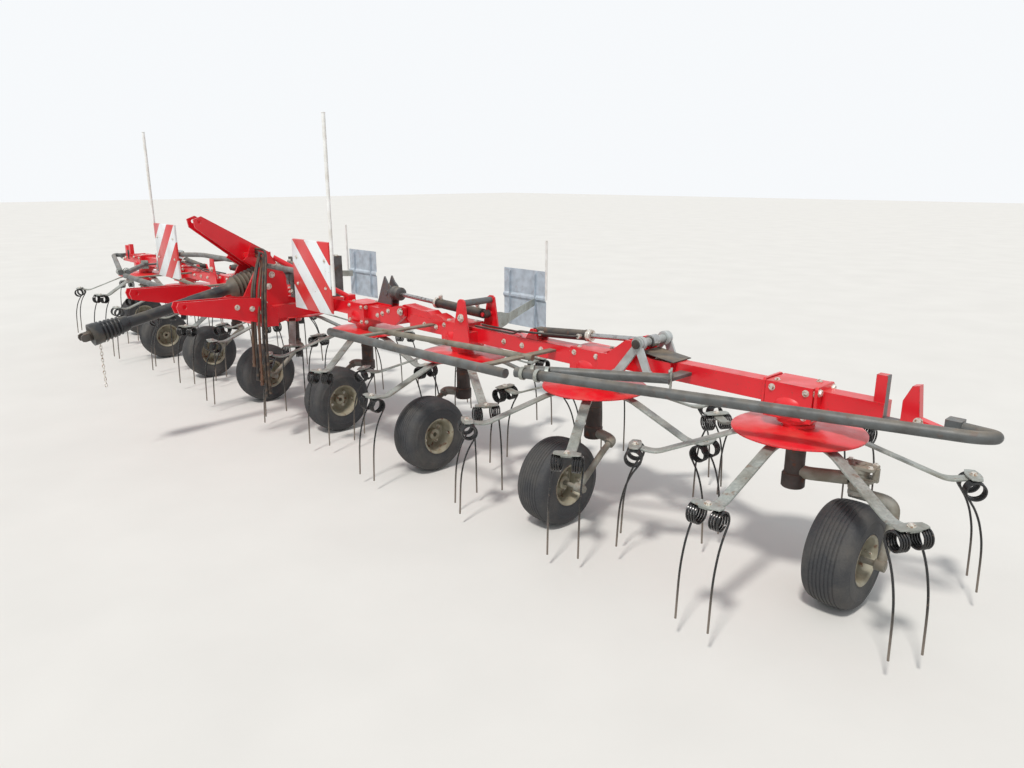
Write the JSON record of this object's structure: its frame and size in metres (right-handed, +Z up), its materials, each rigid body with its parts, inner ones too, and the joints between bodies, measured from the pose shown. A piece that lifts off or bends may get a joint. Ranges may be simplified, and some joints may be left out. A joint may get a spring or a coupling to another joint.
{
  "type": "hay tedder",
  "caption": "Mounted hay tedder with a folding beam carried on a row of small wheels and driven rotors with sprung tines.",
  "frame": {"origin": "on the ground under the middle of the machine outline, in its plane of symmetry", "axes": "+X along the beam to the right-hand end, -Y towards the tractor, +Z up"},
  "size_m": [9.26, 2.8226, 2.11],
  "materials": {
    "red_paint": "gloss",
    "grey_paint": "satin",
    "black_paint": "gloss",
    "dark_steel": "rough",
    "zinc": "galvanised",
    "rod_chrome": "polished",
    "wheel_paint": "worn",
    "tyre": "worn",
    "black_plastic": "satin",
    "hose": "matte",
    "board": "satin"
  },
  "bodies": {
    "frame": {"centre_frame": "red_paint", "headstock": "red_paint", "drive_gearbox": "grey_paint", "pto_shaft": "black_plastic", "front_boards": "board", "centre_legs": "dark_steel", "hoses": "hose"},
    "right_wing": {"right_wing_beam": "red_paint", "right_wing_guard": "grey_paint", "right_wing_legs": "dark_steel", "right_rear_board": "zinc"},
    "right_tip": {"right_tip_beam": "red_paint", "right_tip_guard": "grey_paint", "right_tip_mast": "dark_steel"},
    "right_fork": {"right_swivel_fork": "dark_steel"},
    "right_lift_barrel": {"right_lift_barrel": "black_paint"},
    "right_lift_rod": {"right_lift_rod": "rod_chrome"},
    "right_fold_barrel": {"right_fold_barrel": "black_paint"},
    "right_fold_rod": {"right_fold_rod": "rod_chrome"},
    "right_inner_link": {"right_inner_link": "zinc"},
    "right_outer_link": {"right_outer_link": "zinc"},
    "left_wing": {"left_wing_beam": "red_paint", "left_wing_guard": "grey_paint", "left_wing_legs": "dark_steel", "left_rear_board": "zinc"},
    "left_tip": {"left_tip_beam": "red_paint", "left_tip_guard": "grey_paint", "left_tip_mast": "dark_steel"},
    "left_fork": {"left_swivel_fork": "dark_steel"},
    "left_lift_barrel": {"left_lift_barrel": "black_paint"},
    "left_lift_rod": {"left_lift_rod": "rod_chrome"},
    "left_fold_barrel": {"left_fold_barrel": "black_paint"},
    "left_fold_rod": {"left_fold_rod": "rod_chrome"},
    "left_inner_link": {"left_inner_link": "zinc"},
    "left_outer_link": {"left_outer_link": "zinc"},
    "rotor_1": {"rotor_1": "zinc"},
    "wheel_1": {"tyre_1": "tyre", "rim_1": "wheel_paint"},
    "rotor_2": {"rotor_2": "zinc"},
    "wheel_2": {"tyre_2": "tyre", "rim_2": "wheel_paint"},
    "rotor_3": {"rotor_3": "zinc"},
    "wheel_3": {"tyre_3": "tyre", "rim_3": "wheel_paint"},
    "rotor_4": {"rotor_4": "zinc"},
    "wheel_4": {"tyre_4": "tyre", "rim_4": "wheel_paint"},
    "rotor_5": {"rotor_5": "zinc"},
    "wheel_5": {"tyre_5": "tyre", "rim_5": "wheel_paint"},
    "rotor_6": {"rotor_6": "zinc"},
    "wheel_6": {"tyre_6": "tyre", "rim_6": "wheel_paint"},
    "rotor_7": {"rotor_7": "zinc"},
    "wheel_7": {"tyre_7": "tyre", "rim_7": "wheel_paint"},
    "rotor_8": {"rotor_8": "zinc"},
    "wheel_8": {"tyre_8": "tyre", "rim_8": "wheel_paint"}
  },
  "joints": [
    {"name": "right_lift", "type": "hinge", "parent": "frame", "child": "right_wing", "pos_m": [1.08, 0.365, 0.9], "axis": [0, -1, 0], "range_deg": [0, 90]},
    {"name": "right_fold", "type": "hinge", "parent": "right_wing", "child": "right_tip", "pos_m": [2.99, 0.365, 0.96], "axis": [0, -1, 0], "range_deg": [0, 180]},
    {"name": "right_lift_barrel_swing", "type": "hinge", "parent": "right_wing", "child": "right_lift_barrel", "pos_m": [1.757, 0.437, 0.95], "axis": [0, -1, 0], "range_deg": [-23.01, 0]},
    {"name": "right_lift_rod_slide", "type": "slide", "parent": "right_lift_barrel", "child": "right_lift_rod", "axis": [-0.9994, 0, 0.0351], "range_m": [-0.3509, 0]},
    {"name": "right_fold_barrel_swing", "type": "hinge", "parent": "right_wing", "child": "right_fold_barrel", "pos_m": [2.28, 0.365, 0.925], "axis": [0, -1, 0], "range_deg": [-1.67, 0]},
    {"name": "right_fold_rod_slide", "type": "slide", "parent": "right_fold_barrel", "child": "right_fold_rod", "axis": [0.9965, 0, 0.083], "range_m": [-0.3221, 0]},
    {"name": "right_inner_link_swing", "type": "hinge", "parent": "right_wing", "child": "right_inner_link", "pos_m": [2.92, 0.365, 0.812], "axis": [0, -1, 0], "range_deg": [0, 89.82]},
    {"name": "right_outer_link_swing", "type": "hinge", "parent": "right_tip", "child": "right_outer_link", "pos_m": [3.13, 0.365, 0.845], "axis": [0, -1, 0], "range_deg": [-67.6, 0]},
    {"name": "right_swivel", "type": "hinge", "parent": "right_tip", "child": "right_fork", "pos_m": [4.1, 0.415, 0.55], "axis": [0, 0, 1], "range_deg": [-30, 30]},
    {"name": "left_lift", "type": "hinge", "parent": "frame", "child": "left_wing", "pos_m": [-1.08, 0.365, 0.9], "axis": [0, 1, 0], "range_deg": [0, 90]},
    {"name": "left_fold", "type": "hinge", "parent": "left_wing", "child": "left_tip", "pos_m": [-2.99, 0.365, 0.96], "axis": [0, 1, 0], "range_deg": [0, 180]},
    {"name": "left_lift_barrel_swing", "type": "hinge", "parent": "left_wing", "child": "left_lift_barrel", "pos_m": [-1.757, 0.437, 0.95], "axis": [0, 1, 0], "range_deg": [-23.01, 0]},
    {"name": "left_lift_rod_slide", "type": "slide", "parent": "left_lift_barrel", "child": "left_lift_rod", "axis": [0.9994, 0, 0.0351], "range_m": [-0.3509, 0]},
    {"name": "left_fold_barrel_swing", "type": "hinge", "parent": "left_wing", "child": "left_fold_barrel", "pos_m": [-2.28, 0.365, 0.925], "axis": [0, 1, 0], "range_deg": [-1.67, 0]},
    {"name": "left_fold_rod_slide", "type": "slide", "parent": "left_fold_barrel", "child": "left_fold_rod", "axis": [-0.9965, 0, 0.083], "range_m": [-0.3221, 0]},
    {"name": "left_inner_link_swing", "type": "hinge", "parent": "left_wing", "child": "left_inner_link", "pos_m": [-2.92, 0.365, 0.812], "axis": [0, 1, 0], "range_deg": [0, 89.82]},
    {"name": "left_outer_link_swing", "type": "hinge", "parent": "left_tip", "child": "left_outer_link", "pos_m": [-3.13, 0.365, 0.845], "axis": [0, 1, 0], "range_deg": [-67.6, 0]},
    {"name": "left_swivel", "type": "hinge", "parent": "left_tip", "child": "left_fork", "pos_m": [-4.1, 0.415, 0.55], "axis": [0, 0, 1], "range_deg": [-30, 30]},
    {"name": "rotor_5_spin", "type": "hinge", "parent": "frame", "child": "rotor_5", "pos_m": [0.54, 0.365, 0.6], "axis": [0, 0, 1], "continuous": true},
    {"name": "rotor_1_spin", "type": "hinge", "parent": "left_tip", "child": "rotor_1", "pos_m": [-3.84, 0.365, 0.6], "axis": [0, 0, 1], "continuous": true},
    {"name": "rotor_2_spin", "type": "hinge", "parent": "left_wing", "child": "rotor_2", "pos_m": [-2.7, 0.365, 0.6], "axis": [0, 0, 1], "continuous": true},
    {"name": "rotor_3_spin", "type": "hinge", "parent": "left_wing", "child": "rotor_3", "pos_m": [-1.62, 0.365, 0.6], "axis": [0, 0, 1], "continuous": true},
    {"name": "rotor_4_spin", "type": "hinge", "parent": "frame", "child": "rotor_4", "pos_m": [-0.54, 0.365, 0.6], "axis": [0, 0, 1], "continuous": true},
    {"name": "rotor_6_spin", "type": "hinge", "parent": "right_wing", "child": "rotor_6", "pos_m": [1.62, 0.365, 0.6], "axis": [0, 0, 1], "continuous": true},
    {"name": "rotor_7_spin", "type": "hinge", "parent": "right_wing", "child": "rotor_7", "pos_m": [2.7, 0.365, 0.6], "axis": [0, 0, 1], "continuous": true},
    {"name": "rotor_8_spin", "type": "hinge", "parent": "right_tip", "child": "rotor_8", "pos_m": [3.84, 0.365, 0.6], "axis": [0, 0, 1], "continuous": true},
    {"name": "wheel_1_spin", "type": "hinge", "parent": "left_fork", "child": "wheel_1", "pos_m": [-4.1, 0.355, 0.2285], "axis": [1, 0, 0], "continuous": true},
    {"name": "wheel_2_spin", "type": "hinge", "parent": "left_wing", "child": "wheel_2", "pos_m": [-2.7, 0.085, 0.2285], "axis": [1, 0, 0], "continuous": true},
    {"name": "wheel_3_spin", "type": "hinge", "parent": "left_wing", "child": "wheel_3", "pos_m": [-1.62, 0.085, 0.2285], "axis": [1, 0, 0], "continuous": true},
    {"name": "wheel_4_spin", "type": "hinge", "parent": "frame", "child": "wheel_4", "pos_m": [-0.54, 0.085, 0.2285], "axis": [1, 0, 0], "continuous": true},
    {"name": "wheel_5_spin", "type": "hinge", "parent": "frame", "child": "wheel_5", "pos_m": [0.54, 0.085, 0.2285], "axis": [1, 0, 0], "continuous": true},
    {"name": "wheel_6_spin", "type": "hinge", "parent": "right_wing", "child": "wheel_6", "pos_m": [1.62, 0.085, 0.2285], "axis": [1, 0, 0], "continuous": true},
    {"name": "wheel_7_spin", "type": "hinge", "parent": "right_wing", "child": "wheel_7", "pos_m": [2.7, 0.085, 0.2285], "axis": [1, 0, 0], "continuous": true},
    {"name": "wheel_8_spin", "type": "hinge", "parent": "right_fork", "child": "wheel_8", "pos_m": [4.1, 0.355, 0.2285], "axis": [1, 0, 0], "continuous": true}
  ],
  "couplings": [
    {"joint": "right_lift_barrel_swing", "follows": "right_lift", "ratio": -0.25007},
    {"joint": "right_lift_rod_slide", "follows": "right_lift", "m_per_rad": -0.22087},
    {"joint": "right_fold_barrel_swing", "follows": "right_fold", "ratio": -0.006518},
    {"joint": "right_fold_rod_slide", "follows": "right_fold", "m_per_rad": -0.10126},
    {"joint": "right_inner_link_swing", "follows": "right_fold", "ratio": 0.49624},
    {"joint": "right_outer_link_swing", "follows": "right_fold", "ratio": -0.37278},
    {"joint": "left_lift_barrel_swing", "follows": "left_lift", "ratio": -0.25007},
    {"joint": "left_lift_rod_slide", "follows": "left_lift", "m_per_rad": -0.22087},
    {"joint": "left_fold_barrel_swing", "follows": "left_fold", "ratio": -0.006518},
    {"joint": "left_fold_rod_slide", "follows": "left_fold", "m_per_rad": -0.10126},
    {"joint": "left_inner_link_swing", "follows": "left_fold", "ratio": 0.49624},
    {"joint": "left_outer_link_swing", "follows": "left_fold", "ratio": -0.37278},
    {"joint": "rotor_1_spin", "follows": "rotor_5_spin", "ratio": 1},
    {"joint": "rotor_2_spin", "follows": "rotor_5_spin", "ratio": -1},
    {"joint": "rotor_3_spin", "follows": "rotor_5_spin", "ratio": 1},
    {"joint": "rotor_4_spin", "follows": "rotor_5_spin", "ratio": -1},
    {"joint": "rotor_6_spin", "follows": "rotor_5_spin", "ratio": -1},
    {"joint": "rotor_7_spin", "follows": "rotor_5_spin", "ratio": 1},
    {"joint": "rotor_8_spin", "follows": "rotor_5_spin", "ratio": -1}
  ]
}
